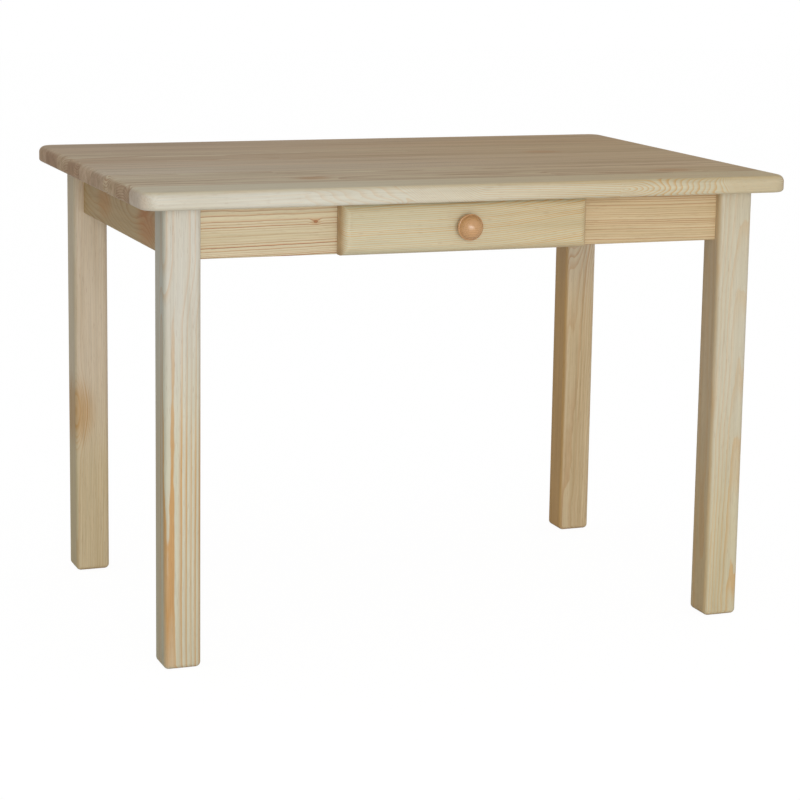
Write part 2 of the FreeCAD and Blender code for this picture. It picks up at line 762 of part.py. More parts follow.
def build_frame():
    """Write every node of the table that stands still."""
    apron_dowels = make_apron_dowels()
    guide_dowels = make_guide_dowels()
    save("apron_dowels", apron_dowels)
    save("guide_dowels", at_drawer(guide_dowels))

    places = bracket_places()
    brackets = [at_bracket(make_bracket(), place) for place in places]
    bracket_screws = [at_bracket(screw, place) for place in places for screw in make_bracket_screws()]
    save("top_brackets", brackets)
    save("bracket_screws", bracket_screws)

    for number, stave in enumerate(make_staves(bracket_screws), start=1):
        save("top_stave_" + str(number), [stave])

    hanger_bolts = {name: make_hanger_bolts(corner) for name, corner in corners.items()}
    block_screws = [screw for corner in corners.values() for screw in make_block_screws(corner)]
    save("hanger_bolts", [bolt for bolts in hanger_bolts.values() for bolt in bolts])
    save("bolt_washers", [washer for corner in corners.values() for washer in make_washers(corner)])
    save("bolt_nuts", [nut for corner in corners.values() for nut in make_nuts(corner)])
    save("corner_block_screws", block_screws)
    for name, corner in corners.items():
        save("leg_" + name, [make_leg(corner, apron_dowels + hanger_bolts[name])])
        save("corner_block_" + name, [make_corner_block(corner)])

    apron_cutters = apron_dowels + at_drawer(guide_dowels) + block_screws + bracket_screws
    cut_out = at_drawer([make_drawer_cut_out()])
    save("apron_front", [make_long_apron(-1, apron_cutters + cut_out)])
    save("apron_rear", [make_long_apron(1, apron_cutters)])
    runner_screws = []
    for name, sign_x in sides.items():
        screws = make_runner_screws(sign_x)
        runner_screws.extend(screws)
        save("apron_" + name, [make_end_apron(sign_x, apron_cutters)])
        save("drawer_guide_" + name, at_drawer([make_guide(sign_x, guide_dowels + screws)]))
        save("drawer_runner_" + name, at_drawer([make_runner(sign_x, screws)]))
    save("runner_screws", at_drawer(runner_screws))


def build_drawer():
    """Write every node that slides with the drawer."""
    box_dowels = make_box_dowels()
    stop_pegs = make_stop_pegs()
    bottom_pins = make_bottom_pins()
    knob_screw = make_knob_screw()
    save("drawer_dowels", at_drawer(box_dowels))
    save("drawer_stop_pegs", at_drawer(stop_pegs))
    save("drawer_bottom_pins", at_drawer(bottom_pins))
    save("knob_screw", at_drawer([knob_screw]))
    save("knob", at_drawer([make_knob([knob_screw])]))
    save("drawer_front", at_drawer([make_drawer_front(box_dowels)]))
    save("drawer_back", at_drawer([make_drawer_back(box_dowels + bottom_pins)]))
    save("drawer_bottom", at_drawer([make_drawer_bottom(bottom_pins)]))
    for name, sign_x in sides.items():
        save("drawer_side_" + name, at_drawer([make_drawer_side(sign_x, box_dowels + stop_pegs)]))


os.makedirs("parts", exist_ok=True)
build_frame()
build_drawer()
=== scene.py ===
import logging
import math
from dataclasses import dataclass, replace
from enum import Enum

import bpy
from mathutils import Matrix, Vector


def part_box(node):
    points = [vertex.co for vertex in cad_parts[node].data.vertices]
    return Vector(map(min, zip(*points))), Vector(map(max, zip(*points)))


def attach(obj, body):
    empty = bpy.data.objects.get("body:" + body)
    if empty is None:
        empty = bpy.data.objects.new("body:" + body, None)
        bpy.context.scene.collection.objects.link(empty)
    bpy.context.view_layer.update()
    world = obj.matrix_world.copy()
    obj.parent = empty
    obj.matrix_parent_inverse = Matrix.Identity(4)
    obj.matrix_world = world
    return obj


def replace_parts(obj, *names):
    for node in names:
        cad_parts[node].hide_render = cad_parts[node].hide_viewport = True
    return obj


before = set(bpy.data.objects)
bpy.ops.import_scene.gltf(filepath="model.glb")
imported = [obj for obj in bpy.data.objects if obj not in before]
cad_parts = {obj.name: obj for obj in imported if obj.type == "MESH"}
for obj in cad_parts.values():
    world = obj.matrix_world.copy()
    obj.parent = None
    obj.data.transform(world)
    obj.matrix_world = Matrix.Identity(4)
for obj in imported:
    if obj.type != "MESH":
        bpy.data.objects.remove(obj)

LOG = logging.getLogger("pine_table")
MM = 0.001
Pair = tuple[float, float]
Triple = tuple[float, float, float]
Socket = bpy.types.NodeSocket
Places = dict[str, Socket]
Material = bpy.types.Material
Piece = bpy.types.Object


def srgb(*steps: int) -> Triple:
    """Linear values that shaders use, of a colour given by its 0 to 255 display steps."""
    return tuple(share / 12.92 if share <= 0.04045 else ((share + 0.055) / 1.055) ** 2.4
                 for share in (step / 255 for step in steps))


# ---- shader tree helper


class Tree:
    """Adds and links the shader nodes of one material or world."""

    def __init__(self, name: str, group: str = "materials") -> None:
        """Start an empty material or world.

        Args:
            name: Its name.
            group: Name of the data that it belongs to.
        """
        self.owner = getattr(bpy.data, group).new(name)
        self.owner.use_nodes = True
        self.nodes = self.owner.node_tree.nodes
        self.links = self.owner.node_tree.links
        self.nodes.clear()

    def add(self, kind: str, **settings: object) -> bpy.types.Node:
        """Add a node and set its properties.

        Args:
            kind: Node type without its ShaderNode prefix.
            **settings: Node properties by name.

        Returns:
            The new node.
        """
        node = self.nodes.new("ShaderNode" + kind)
        for name, value in settings.items():
            setattr(node, name, value)
        return node

    def feed(self, target: Socket, value: object) -> None:
        """Link a socket, or set it to a constant.

        Args:
            target: Input socket.
            value: Output socket, number or colour.
        """
        if isinstance(value, bpy.types.NodeSocket):
            self.links.new(value, target)
        else:
            target.default_value = (*value, 1.0) if isinstance(value, tuple) else value

    def fed(self, node: bpy.types.Node, *values: object, output: int | str = 0,
            **named: object) -> Socket:
        """Feed a node.

        Args:
            node: The node.
            *values: Values of its first inputs.
            output: Output that is used.
            **named: Values of other inputs, by name with underscores for spaces.

        Returns:
            That output.
        """
        for target, value in zip(node.inputs, values):
            self.feed(target, value)
        for name, value in named.items():
            self.feed(node.inputs[name.replace("_", " ")], value)
        return node.outputs[output]

    def calc(self, operation: str, *values: object) -> Socket:
        """Result of a Math node."""
        return self.fed(self.add("Math", operation=operation), *values)

    def times(self, first: object, second: object, *plus: object) -> Socket:
        """Product of two values, with a third one added where it is given."""
        return self.calc("MULTIPLY_ADD" if plus else "MULTIPLY", first, second, *plus)

    def distance(self, first: Socket, second: Socket) -> Socket:
        """Length of a step that goes this far along two square axes."""
        return self.calc("SQRT", self.calc("ADD", self.times(first, first), self.times(second, second)))

    def split(self, vector: Socket) -> Places:
        """X, Y and Z of a vector, by name."""
        outputs = self.fed(self.add("SeparateXYZ"), vector).node.outputs
        return {axis: outputs[axis] for axis in "XYZ"}

    def coordinates(self, kind: str = "Object") -> Places:
        """Object coordinates or the normal, by axis name and whole under the name all."""
        whole = self.add("TexCoord").outputs[kind]
        return {"all": whole, **self.split(whole)}

    def join(self, *parts: object) -> Socket:
        """Vector of up to three values."""
        return self.fed(self.add("CombineXYZ"), *parts)

    def noise(self, vector: Socket, scale: float, detail: float = 2.0, roughness: float = 0.5,
              output: str = "Fac") -> Socket:
        """Noise read at a vector, with detail for its octaves and roughness for the finer ones."""
        return self.fed(self.add("TexNoise"), output=output, Vector=vector, Scale=scale, Detail=detail,
                        Roughness=roughness)

    def ramp(self, factor: Socket, *stops: tuple[float, object], ease: bool = False) -> Socket:
        """Colour ramp.

        Args:
            factor: Position on the ramp.
            *stops: Pairs of position and grey value or colour.
            ease: Whether the ramp eases between its stops.

        Returns:
            The ramp's colour socket.
        """
        node = self.add("ValToRGB")
        node.color_ramp.interpolation = "EASE" if ease else "LINEAR"
        while len(node.color_ramp.elements) < len(stops):
            node.color_ramp.elements.new(1.0)
        for element, (place, value) in zip(node.color_ramp.elements, stops):
            element.position = place
            element.color = (*(value if isinstance(value, tuple) else (value,) * 3), 1.0)
        return self.fed(node, factor)

    def mix(self, factor: object, first: object, second: object, blend: str = "MIX") -> Socket:
        """Mix of two colours.

        Args:
            factor: Share of the second colour.
            first: First colour.
            second: Second colour.
            blend: Blend mode.

        Returns:
            The mixed colour.
        """
        node = self.add("Mix", data_type="RGBA", blend_type=blend, clamp_result=True)
        self.feed(node.inputs["Factor"], factor)
        for target, value in zip((s for s in node.inputs if s.type == "RGBA"), (first, second)):
            self.feed(target, value)
        return next(s for s in node.outputs if s.type == "RGBA")

    def tinted(self, colour: object, tint: object) -> Socket:
        """Colour multiplied by another."""
        return self.mix(1.0, colour, tint, "MULTIPLY")

    def between(self, value: Socket, low: float, high: float, to_low: float = 0.0,
                to_high: float = 1.0) -> Socket:
        """Value moved from the range of low and high to another one, with eased ends."""
        node = self.add("MapRange", interpolation_type="SMOOTHSTEP")
        return self.fed(node, value, low, high, to_low, to_high)

    def finish(self, colour: object, roughness: object, height: Socket, depth: float,
               **constants: object) -> Material:
        """Close the material with a principled shader.

        Args:
            colour: Base colour.
            roughness: Roughness.
            height: Bump height from 0 to 1.
            depth: Depth in metres that a height of 1 stands for.
            **constants: Other shader inputs, with underscores for spaces.

        Returns:
            The finished material.
        """
        bump = self.fed(self.add("Bump"), Distance=depth, Height=height)
        return self.shown(self.fed(self.add("BsdfPrincipled"), Base_Color=colour, Roughness=roughness,
                                   Normal=bump, **constants))

    def shown(self, shader: Socket, kind: str = "OutputMaterial") -> Material | bpy.types.World:
        """Material or world that shows a shader."""
        self.feed(self.add(kind).inputs["Surface"], shader)
        return self.owner


# ---- finishes


class Grain(Enum):
    """Axis that a board's fibres run along, followed by the two axes across them."""

    ALONG_X = "XYZ"
    ALONG_Y = "YXZ"
    ALONG_Z = "ZXY"


@dataclass(frozen=True)
class Pattern:
    """Noise that is drawn out along the grain.

    along and across are its scales along the grain and across it, detail its octaves, roughness the
    strength of the finer ones, scale a scale of the whole, and shift where it begins along the grain.
    """

    along: float
    across: float
    detail: float = 3.0
    roughness: float = 0.6
    scale: float = 1.0
    shift: float = 0.0

    def read(self, tree: Tree, position: tuple[Socket, ...], offset: float = 0.0) -> Socket:
        """Strength of the noise.

        Args:
            tree: Material being made.
            position: Distances along the grain and across it.
            offset: Step along the noise that sets one board apart from the others.

        Returns:
            The strength, from 0 to 1.
        """
        parts = [tree.times(position[0], self.along, self.shift + offset)]
        parts += [tree.times(place, self.across) for place in position[1:]]
        return tree.noise(tree.join(*parts), self.scale, self.detail, self.roughness)


PINE_WAVE = Pattern(9.0, 22.0, 3.0, 0.55, shift=1.0)
PINE_FIBRE = Pattern(14.0, 850.0, shift=2.0)
PINE_CLOUD = Pattern(2.4, 26.0, 3.0, 0.5, 1.3, 3.0)
PINE_DUCT = Pattern(60.0, 1400.0, 0.0, 0.5, shift=4.0)


@dataclass(frozen=True)
class Heart:
    """Line of the tree's heart, which the rings run round, for one length of a board.

    across holds its distances from the board's middle, in metres, lean its sideways drift per metre of
    length, and start is where this length of wood begins. sway is how far the line wanders sideways, in
    metres. Between the two ends of bend it moves over by shift. tightness narrows the rings.
    """

    across: Pair
    lean: Pair = (0.0, 0.0)
    start: float = -10.0
    sway: float = 3.0 * MM
    bend: Pair = (0.0, 1.0)
    shift: Pair = (0.0, 0.0)
    tightness: float = 1.0
    waves_per_metre: float = 2.4

    def distances(self, tree: Tree, position: tuple[Socket, ...], offset: float) -> list[Socket]:
        """Distances from the line along the two axes across the grain.

        Args:
            tree: Material being made.
            position: Distances along the grain and across it.
            offset: Step that sets this line's wandering apart from that of others.

        Returns:
            The two distances.
        """
        along = position[0]
        slow_place = tree.join(tree.times(along, self.waves_per_metre, offset))
        slow = tree.split(tree.noise(slow_place, 1.0, 1.0, output="Color"))
        bent = tree.between(along, *self.bend)
        found = []
        for side, drift in enumerate("XY"):
            centre = tree.times(along, self.lean[side], self.across[side])
            centre = tree.times(tree.calc("SUBTRACT", slow[drift], 0.5), self.sway * 4, centre)
            if self.shift[side]:
                centre = tree.times(bent, self.shift[side], centre)
            gap = tree.calc("SUBTRACT", position[side + 1], centre)
            found.append(tree.times(gap, self.tightness))
        return found


@dataclass(frozen=True)
class Knot:
    """Mark that a branch left, with the axis that the branch ran along.

    bulge is how far the rings swell round it, in metres, wood how much of its own wood shows, halo the
    colour of the wood that grew round it and figure how much stronger the rings show there. Lengths
    along the grain count for it by the share of stretch. Its own wood has rings of dark and pale, by
    their number in one radius, inside a line of bark.
    """

    centre: Triple
    axis: str
    radius: float
    bulge: float = 5.0 * MM
    wood: float = 1.0
    halo: Triple = srgb(194, 148, 98)
    figure: float = 0.0
    stretch: float = 0.62
    rings: float = 3.4
    dark: Triple = srgb(146, 94, 58)
    pale: Triple = srgb(182, 126, 80)
    bark: Triple = srgb(110, 70, 46)

    def reach(self, tree: Tree, places: Places, grain: Grain) -> Socket:
        """Distance from the branch line, in units of its radius.

        Args:
            tree: Material being made.
            places: Object coordinates by axis name.
            grain: Grain of the board, along which the knot is drawn out.

        Returns:
            The distance.
        """
        gaps = []
        for axis, centre in zip("XYZ", self.centre):
            if axis != self.axis:
                share = self.stretch if axis == grain.value[0] else 1.0
                gap = tree.calc("SUBTRACT", places[axis], centre)
                gaps.append(tree.times(gap, share / self.radius))
        return tree.distance(*gaps)

    def laid_into(self, tree: Tree, colour: Socket, reach: Socket) -> Socket:
        """Colour with the knot laid into it.

        Args:
            tree: Material being made.
            colour: Colour of the wood round it.
            reach: Distance from the branch line, in units of its radius.

        Returns:
            The colour with the knot.
        """
        ring = tree.calc("FRACT", tree.times(reach, self.rings))
        wood = tree.mix(tree.ramp(ring, (0.0, 0.35), (0.8, 1.0), (1.0, 0.35)), self.dark, self.pale)
        wood = tree.mix(tree.between(reach, 0.80, 1.0), wood, self.bark)
        colour = tree.mix(tree.between(reach, 0.9, 3.6, 0.55, 0.0), colour, self.halo)
        return tree.mix(tree.between(reach, 0.9, 1.2, self.wood, 0.0), colour, wood)


@dataclass(frozen=True)
class Pine:
    """Bare planed pine, cut from a log whose rings, fibres and knots run through the whole board.

    Along the grain, between the ends of span, the pale wood goes from early to early_far and the
    strength of the dark summer wood, late, over the two values of contrast. late_part is its share of a
    ring, and sharpen narrows it towards the far end. growth and uneven are how much the rings differ in
    width and strength, phase moves them out by a share of a ring, rim is the strength of their dark
    outer lines, and ripple how far they waver, in metres. streaks is the strength of the stripes along
    the fibres. side_tint multiplies the faces towards -X with painted shade, for the side turned from
    the lights, and top_tint those towards +Z with painted shade that is warmer and darker.
    end_tone is the colour that wood cut across is multiplied by, where its face turns between the sines
    of end_turn, and end_late that of its summer wood. duct_colour is that of the fine resin ducts.
    """

    name: str
    grain: Grain
    hearts: tuple[Heart, ...]
    ring_width: float = 4.0 * MM
    seed: float = 0.0
    early: Triple = srgb(214, 202, 172)
    early_far: Triple | None = None
    late: Triple = srgb(196, 150, 100)
    contrast: Pair = (0.8, 0.8)
    span: Pair = (0.0, 1.0)
    late_part: float = 0.4
    sharpen: float = 1.0
    growth: float = 2.0
    uneven: float = 0.5
    rim: float = 0.0
    rim_colour: Triple = srgb(136, 74, 48)
    duct_colour: Triple = srgb(150, 104, 64)
    ripple: float = 1.2 * MM
    phase: float = 0.0
    streaks: float = 0.4
    stripes_per_metre: float = 150.0
    side_tint: Triple | None = None
    top_tint: Triple | None = None
    end_tone: Triple = (0.94, 0.84, 0.78)
    end_turn: Pair = (0.40, 0.90)
    end_late: Triple = (0.62, 0.42, 0.32)
    knots: tuple[Knot, ...] = ()
    roughness: float = 0.5
    relief: float = 0.14 * MM
    finger_pitch: float = 4.0 * MM
    finger_length: float = 8.0 * MM

    @property
    def offset(self) -> float:
        """Step along a noise that sets this board apart from the others."""
        return self.seed * 3.7

    def heart_distances(self, tree: Tree, position: tuple[Socket, ...]) -> list[Socket]:
        """Distances across the log from its heart, with a new heart past each finger joint.

        Args:
            tree: Material being made.
            position: Distances along the grain and across it.

        Returns:
            The two distances from the heart.
        """
        saw = tree.calc("PINGPONG", position[2], self.finger_pitch)
        jagged = tree.times(saw, self.finger_length / self.finger_pitch, position[0])
        values = self.hearts[0].distances(tree, position, self.offset)
        for number, heart in enumerate(self.hearts[1:], 1):
            past = tree.calc("GREATER_THAN", jagged, heart.start)
            values = [tree.times(past, tree.calc("SUBTRACT", new, old), old) for new, old in zip(
                heart.distances(tree, position, self.offset + number * 11.0), values)]
        return values

    def ring_shares(self, tree: Tree, distance: Socket) -> tuple[Socket, Socket]:
        """Strength of the summer wood and of its dark outer line.

        Args:
            tree: Material being made.
            distance: Distance from the heart.

        Returns:
            The two strengths, from 0 to 1.
        """
        rings = tree.times(distance, 1.0 / self.ring_width, self.phase)
        growth = tree.noise(tree.join(tree.calc("ADD", rings, self.seed * 5.3)), 0.27, 1.0)
        rings = tree.times(growth, self.growth, rings)
        phase = tree.calc("FRACT", rings)
        random = tree.add("TexWhiteNoise", noise_dimensions="1D")
        tree.feed(random.inputs["W"], tree.calc("ADD", tree.calc("FLOOR", rings), self.seed * 7.1))
        weight = tree.times(random.outputs["Value"], self.uneven, 1.0 - self.uneven)
        rise = 1.0 - self.late_part
        late = tree.ramp(phase, (0.0, 0.12), (0.06, 0.0), (rise * 0.7, 0.05), (rise, 0.34),
                         (0.90, 1.0), (0.965, 0.92), (1.0, 0.12))
        line = tree.ramp(phase, (0.80, 0.0), (0.92, 1.0), (0.96, 1.0), (1.0, 0.0))
        return (tree.times(late, weight), tree.times(line, weight))

    def material(self) -> Material:
        """Build the board's material.

        Returns:
            The material.
        """
        tree = Tree(self.name)
        places = tree.coordinates()
        position = tuple(places[axis] for axis in self.grain.value)
        along = position[0]
        fibre, broad, duct, wave, stripe = (
            pattern.read(tree, position, self.offset)
            for pattern in (PINE_FIBRE, PINE_CLOUD, PINE_DUCT, PINE_WAVE,
                            Pattern(2.6, self.stripes_per_metre, shift=5.0)))
        distance = tree.distance(*self.heart_distances(tree, position))
        distance = tree.times(tree.calc("SUBTRACT", wave, 0.5), self.ripple * 4, distance)
        knots = [(knot, knot.reach(tree, places, self.grain)) for knot in self.knots]
        for knot, reach in knots:
            distance = tree.calc("ADD", distance, tree.between(reach, 0.0, 4.5, knot.bulge, 0.0))

        late, line = self.ring_shares(tree, distance)
        if self.sharpen != 1.0:
            late = tree.calc("POWER", late, tree.between(along, *self.span, 1.0, self.sharpen))
        late = tree.times(late, tree.between(along, *self.span, *self.contrast))
        late = tree.times(late, tree.between(broad, 0.32, 0.62, 0.72, 1.1))
        for knot, reach in knots:
            late = tree.times(late, tree.between(reach, 1.0, 4.0, 1.0 + knot.figure, 1.0))

        early = self.early
        if self.early_far is not None:
            early = tree.mix(tree.between(along, *self.span), self.early, self.early_far)
        colour = tree.mix(late, early, self.late)
        if self.rim:
            colour = tree.mix(tree.times(line, self.rim), colour, self.rim_colour)
        for knot, reach in knots:
            colour = knot.laid_into(tree, colour, reach)
        colour = tree.tinted(colour, tree.ramp(fibre, (0.28, 0.90), (0.52, 1.0), (0.74, 1.05)))
        colour = tree.tinted(colour, tree.ramp(
            broad, (0.30, (0.94, 0.915, 0.87)), (0.52, 1.0), (0.74, (1.03, 1.035, 1.05))))
        colour = tree.mix(self.streaks, colour, tree.tinted(colour, tree.ramp(
            stripe, (0.28, (0.78, 0.71, 0.60)), (0.50, 1.0), (0.72, (1.12, 1.13, 1.16)))))
        colour = tree.mix(tree.ramp(duct, (0.70, 0.0), (0.78, 0.26)), colour, self.duct_colour)
        normal = tree.coordinates("Normal")
        end_share = tree.between(tree.calc("ABSOLUTE", normal[self.grain.value[0]]), *self.end_turn)
        colour = tree.mix(tree.times(end_share, 0.9), colour,
                          tree.tinted(colour, self.end_grain(tree, places["all"], late)))
        # Painted shade: faces towards -X and +Z are multiplied by side_tint and top_tint for how the light
        # falls on them.
        for axis, sign, tint in (("X", -1.0, self.side_tint), ("Z", 1.0, self.top_tint)):
            if tint is not None:
                turned = tree.between(tree.times(normal[axis], sign), 0.4, 0.95)
                colour = tree.mix(turned, colour, tree.tinted(colour, tint))

        height = tree.times(fibre, 0.55, tree.times(late, 0.45))
        rough = tree.times(fibre, 0.14, self.roughness - 0.07)
        return tree.finish(colour, rough, height, self.relief, Specular_IOR_Level=0.4)

    def end_grain(self, tree: Tree, place: Socket, late: Socket) -> Socket:
        """Tone that gives wood cut across its darker, open-pored look.

        Args:
            tree: Material being made.
            place: Object coordinates.
            late: Strength of the summer wood.

        Returns:
            The colour that the wood is multiplied by.
        """
        pores = tree.noise(place, 420.0, 3.0, 0.7)
        patches = tree.noise(place, 32.0)
        tone = tree.tinted(self.end_tone, tree.ramp(pores, (0.3, 0.84), (0.6, 1.0)))
        tone = tree.tinted(tone, tree.ramp(patches, (0.38, (0.80, 0.72, 0.64)), (0.60, 1.0)))
        return tree.mix(tree.times(late, 0.5), tone, self.end_late)


@dataclass(frozen=True)
class Beech:
    """Close-grained hardwood with short dark flecks."""

    name: str
    grain: Grain
    base: Triple = srgb(205, 166, 126)
    flecks: Triple = srgb(142, 96, 64)
    relief: float = 0.08 * MM

    def material(self) -> Material:
        """Build the material.

        Returns:
            The material.
        """
        tree = Tree(self.name)
        places = tree.coordinates()
        position = tuple(places[axis] for axis in self.grain.value)
        fibre = Pattern(20.0, 700.0).read(tree, position)
        fleck = Pattern(190.0, 1600.0, 0.0, 0.5).read(tree, position)
        colour = tree.tinted(self.base, tree.ramp(fibre, (0.25, 0.86), (0.6, 1.0), (0.8, 1.05)))
        colour = tree.mix(tree.ramp(fleck, (0.66, 0.0), (0.74, 0.55)), colour, self.flecks)
        return tree.finish(colour, tree.times(fibre, 0.12, 0.46), fibre, self.relief,
                           Specular_IOR_Level=0.35)


@dataclass(frozen=True)
class TurnedWood:
    """Warm smooth wood turned on a lathe round an axis along Y, with faint rings left by the tool."""

    name: str
    centre: Vector
    base: Triple = srgb(214, 168, 116)
    dark: Triple = srgb(168, 105, 54)
    tool_pitch: float = 2.6 * MM
    layers_per_metre: float = 340.0
    slant_per_metre: float = 160.0
    relief: float = 0.03 * MM

    def material(self) -> Material:
        """Build the material.

        Returns:
            The material.
        """
        tree = Tree(self.name)
        places = tree.coordinates()
        x, y, z = (places[axis] for axis in "XYZ")
        rise = tree.calc("SUBTRACT", z, self.centre.z)
        radius = tree.distance(tree.calc("SUBTRACT", x, self.centre.x), rise)
        wander = Pattern(30.0, 1.0, 2.0, 0.5).read(tree, (x, y))
        layers = tree.times(wander, 1.6, tree.times(rise, self.layers_per_metre))
        layers = tree.calc("FRACT", tree.times(y, self.slant_per_metre, layers))
        growth = tree.ramp(layers, (0.0, 0.1), (0.55, 0.15), (0.9, 0.6), (1.0, 0.1))
        fibre = Pattern(60.0, 900.0).read(tree, (x, y, z))
        groove = tree.ramp(tree.calc("FRACT", tree.calc("DIVIDE", radius, self.tool_pitch)),
                           (0.0, 0.0), (0.12, 1.0), (0.88, 1.0), (1.0, 0.0), ease=True)
        colour = tree.mix(tree.times(growth, 0.9), self.base, self.dark)
        colour = tree.tinted(colour, tree.ramp(fibre, (0.3, 0.88), (0.7, 1.06)))
        # Painted shade: each tool groove is darkened in colour as well as sunk by the bump.
        colour = tree.tinted(colour, tree.ramp(groove, (0.0, (0.88, 0.84, 0.80)), (1.0, 1.0)))
        return tree.finish(colour, tree.times(fibre, 0.08, 0.24), tree.times(fibre, 0.1, groove),
                           self.relief, Specular_IOR_Level=0.95)


@dataclass(frozen=True)
class Plywood:
    """Thin birch plywood with plain rotary-cut faces and dark glue lines on its edges."""

    name: str
    low: float
    thickness: float
    layers: int = 3

    def material(self) -> Material:
        """Build the material.

        Returns:
            The material.
        """
        tree = Tree(self.name)
        places = tree.coordinates()
        position = (places["X"], places["Y"])
        figure = Pattern(26.0, 3.0, 4.0).read(tree, position)
        fibre = Pattern(600.0, 22.0, 2.0, 0.5).read(tree, position)
        face = tree.ramp(figure, (0.3, srgb(222, 198, 158)), (0.5, srgb(212, 184, 140)),
                         (0.56, srgb(196, 162, 116)), (0.7, srgb(220, 196, 154)))
        face = tree.tinted(face, tree.ramp(fibre, (0.3, 0.92), (0.7, 1.03)))
        rise = tree.calc("SUBTRACT", places["Z"], self.low)
        layer = tree.calc("FRACT", tree.times(rise, self.layers / self.thickness))
        line = tree.ramp(layer, (0.0, 1.0), (0.12, 0.0), (0.88, 0.0), (1.0, 1.0))
        edge = tree.mix(line, srgb(206, 176, 132), srgb(112, 78, 50))
        upright = tree.calc("ABSOLUTE", tree.coordinates("Normal")["Z"])
        colour = tree.mix(tree.between(upright, 0.3, 0.7), edge, face)
        return tree.finish(colour, tree.times(fibre, 0.15, 0.5), fibre, 0.05 * MM, Specular_IOR_Level=0.3)


@dataclass(frozen=True)
class ZincSteel:
    """Bright zinc plating, slightly cloudy and rubbed."""

    name: str
    base: Triple = srgb(196, 200, 204)

    def material(self) -> Material:
        """Build the material.

        Returns:
            The material.
        """
        tree = Tree(self.name)
        place = tree.coordinates()["all"]
        cloud = tree.noise(place, 260.0, 4.0, 0.6)
        colour = tree.tinted(self.base, tree.ramp(
            cloud, (0.3, (0.80, 0.82, 0.80)), (0.6, 1.0), (0.8, (1.06, 1.04, 0.98))))
        return tree.finish(colour, tree.times(cloud, 0.22, 0.22), tree.noise(place, 2600.0),
                           0.02 * MM, Metallic=1.0)


# ---- sub-assemblies


def middle_of(node: str) -> Vector:
    """Middle of a CAD node's box."""
    low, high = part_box(node)
    return (low + high) / 2


def dress(node: str, material: Material) -> None:
    """Give every face of a CAD node one material.

    Args:
        node: Name of the node.
        material: Its finish.
    """
    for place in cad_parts[node].material_slots:
        place.material = material
    LOG.info("dressed %s with %s", node, material.name)


def dress_pine(node: str, grain: Grain, *hearts: Heart, **looks: object) -> None:
    """Give a board pine of its own, whose heart lines are placed from the board's middle.

    Args:
        node: Name of the board's node.
        grain: Direction of its fibres.
        *hearts: Heart line of each of its lengths.
        **looks: Other fields of the pine.
    """
    middle = middle_of(node)
    first, second = (getattr(middle, axis.lower()) for axis in grain.value[1:])
    placed = tuple(replace(heart, across=(first + heart.across[0], second + heart.across[1]))
                   for heart in hearts)
    dress(node, Pine(f"pine_{node}", grain, placed, **looks).material())


def dress_beech(grain: Grain, *nodes: str) -> None:
    """Give beech nodes their finishes."""
    for node in nodes:
        dress(node, Beech(f"beech_{node}", grain).material())


